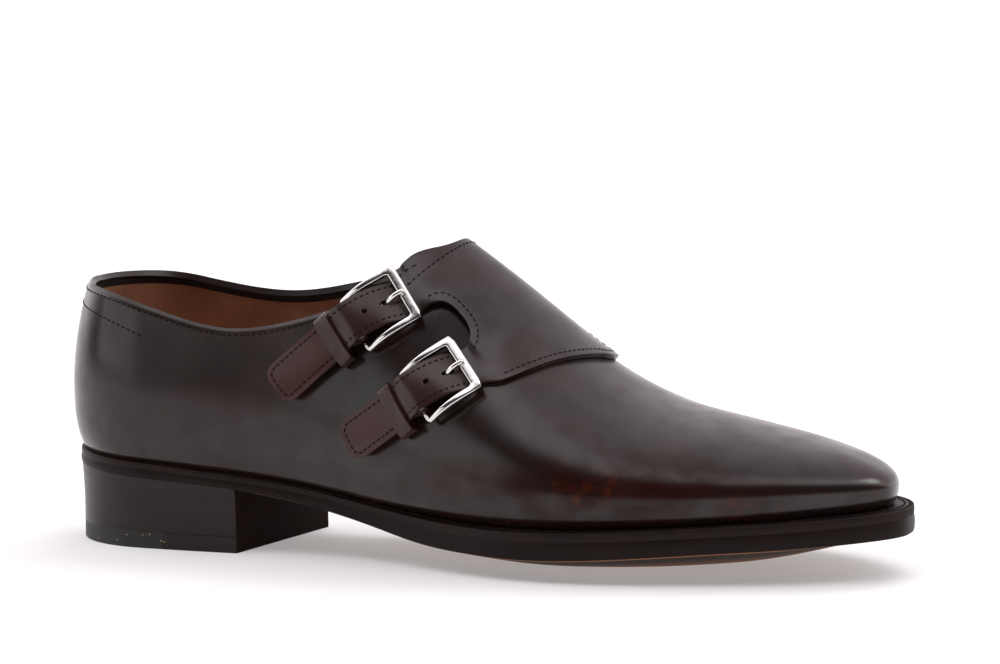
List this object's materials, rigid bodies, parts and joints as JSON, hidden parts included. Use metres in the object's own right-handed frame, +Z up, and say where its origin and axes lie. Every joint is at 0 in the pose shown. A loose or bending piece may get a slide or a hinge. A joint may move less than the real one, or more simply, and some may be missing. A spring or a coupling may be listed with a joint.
{
  "type": "double monk strap shoe",
  "caption": "Leather dress shoe for the right foot, closed by a flap with buckled straps over the outer side, on a welted leather sole with a stacked heel.",
  "frame": {"origin": "middle of the shoe's bounding box, on the floor it stands on", "axes": "+X from the heel to the toe, +Y towards the inner (medial) side of the foot, -Y the outer side with the buckles, +Z up"},
  "size_m": [0.3024, 0.1012, 0.1062],
  "materials": {
    "upper_leather": "glossy burnished dark brown calf",
    "lining_leather": "smooth mid-brown lining leather",
    "welt_leather": "waxed near-black edge",
    "sole_leather": "plain tan sole leather with a dark waxed edge",
    "heel_leather": "waxed near-black stacked leather",
    "heel_rubber": "matt black",
    "buckle_metal": "polished nickel plate"
  },
  "bodies": {
    "root": {"outsole": "sole_leather", "welt": "welt_leather", "heel_rand": "welt_leather", "insole": "lining_leather", "heel_stack": "heel_leather", "heel_top_rubber": "heel_rubber", "heel_top_leather": "heel_leather", "upper": "upper_leather", "flap_with_straps": "upper_leather", "buckle_frame_upper": "buckle_metal", "buckle_prong_upper": "buckle_metal", "buckle_tab_upper": "upper_leather", "strap_keeper_upper": "upper_leather", "buckle_frame_lower": "buckle_metal", "buckle_prong_lower": "buckle_metal", "buckle_tab_lower": "upper_leather", "strap_keeper_lower": "upper_leather"}
  },
  "joints": []
}
